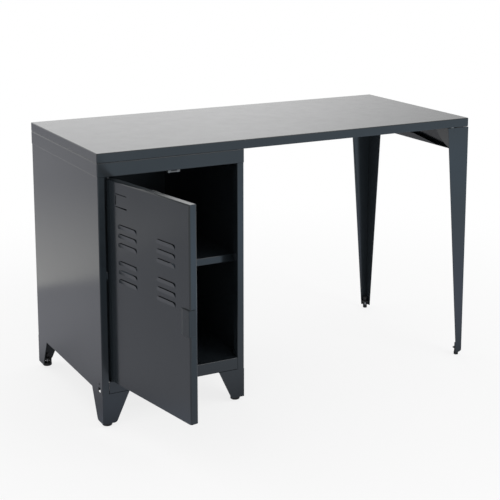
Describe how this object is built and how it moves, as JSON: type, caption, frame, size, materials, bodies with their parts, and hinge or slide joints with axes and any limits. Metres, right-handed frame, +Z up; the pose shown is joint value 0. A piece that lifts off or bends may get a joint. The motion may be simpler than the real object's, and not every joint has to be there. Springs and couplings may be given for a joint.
{
  "type": "pedestal desk",
  "caption": "Sheet-steel locker-style desk with a folded tabletop, a cabinet with a louvred hinged door and a shelf, and tapered angle legs on levelling feet.",
  "frame": {"origin": "on the floor under the centre of the tabletop, feet screwed in", "axes": "+X to the user's right along the desk, away from the cabinet; +Y towards the back; +Z up"},
  "size_m": [1.2028, 0.9132, 0.756],
  "materials": {
    "powder_coat": "satin",
    "zinc_plate": "satin",
    "black_plastic": "matte",
    "grey_plastic": "matte",
    "ferrite": "matte"
  },
  "bodies": {
    "desk": {"desk_top": "powder_coat", "top_stiffener_front": "powder_coat", "top_stiffener_rear": "powder_coat", "cabinet_cap": "powder_coat", "left_side_panel": "powder_coat", "right_side_panel": "powder_coat", "back_panel": "powder_coat", "bottom_panel": "powder_coat", "shelf": "powder_coat", "cab_leg_front_left": "powder_coat", "cab_leg_front_right": "powder_coat", "cab_leg_rear_left": "powder_coat", "cab_leg_rear_right": "powder_coat", "tall_leg_front": "powder_coat", "tall_leg_rear": "powder_coat", "side_rail": "powder_coat", "back_rail": "powder_coat", "upper_pivot_pin": "powder_coat", "lower_pivot_pin": "powder_coat", "shelf_clips": "zinc_plate", "catch_screws": "zinc_plate", "cab_leg_bolts": "zinc_plate", "cab_leg_nuts": "zinc_plate", "side_rail_bolts": "zinc_plate", "side_rail_nuts": "zinc_plate", "back_rail_bolts": "zinc_plate", "back_rail_nuts": "zinc_plate", "tabletop_bolts": "zinc_plate", "tabletop_nuts": "zinc_plate", "top_spacers": "zinc_plate", "foot_insert_1": "black_plastic", "foot_insert_2": "black_plastic", "foot_insert_3": "black_plastic", "foot_insert_4": "black_plastic", "foot_insert_5": "black_plastic", "foot_insert_6": "black_plastic", "catch_housing": "grey_plastic", "catch_magnet": "ferrite"},
    "door": {"door_panel": "powder_coat", "door_stiffener": "powder_coat", "door_handle": "powder_coat", "handle_rivets": "zinc_plate", "door_keeper": "zinc_plate", "door_bushes": "black_plastic"},
    "glide_front_left": {"glide_pad_1": "black_plastic", "glide_screw_1": "zinc_plate"},
    "glide_front_middle": {"glide_pad_2": "black_plastic", "glide_screw_2": "zinc_plate"},
    "glide_rear_left": {"glide_pad_3": "black_plastic", "glide_screw_3": "zinc_plate"},
    "glide_rear_middle": {"glide_pad_4": "black_plastic", "glide_screw_4": "zinc_plate"},
    "glide_front_right": {"glide_pad_5": "black_plastic", "glide_screw_5": "zinc_plate"},
    "glide_rear_right": {"glide_pad_6": "black_plastic", "glide_screw_6": "zinc_plate"}
  },
  "joints": [
    {"name": "door_hinge", "type": "hinge", "parent": "desk", "child": "door", "pos_m": [-0.5684, -0.2678, 0.41], "axis": [0, 0, -1], "range_deg": [-80, 30]},
    {"name": "level_front_left", "type": "slide", "parent": "desk", "child": "glide_front_left", "axis": [0, 0, -1], "range_m": [0, 0.008]},
    {"name": "level_front_middle", "type": "slide", "parent": "desk", "child": "glide_front_middle", "axis": [0, 0, -1], "range_m": [0, 0.008]},
    {"name": "level_rear_left", "type": "slide", "parent": "desk", "child": "glide_rear_left", "axis": [0, 0, -1], "range_m": [0, 0.008]},
    {"name": "level_rear_middle", "type": "slide", "parent": "desk", "child": "glide_rear_middle", "axis": [0, 0, -1], "range_m": [0, 0.008]},
    {"name": "level_front_right", "type": "slide", "parent": "desk", "child": "glide_front_right", "axis": [0, 0, -1], "range_m": [0, 0.008]},
    {"name": "level_rear_right", "type": "slide", "parent": "desk", "child": "glide_rear_right", "axis": [0, 0, -1], "range_m": [0, 0.008]}
  ]
}
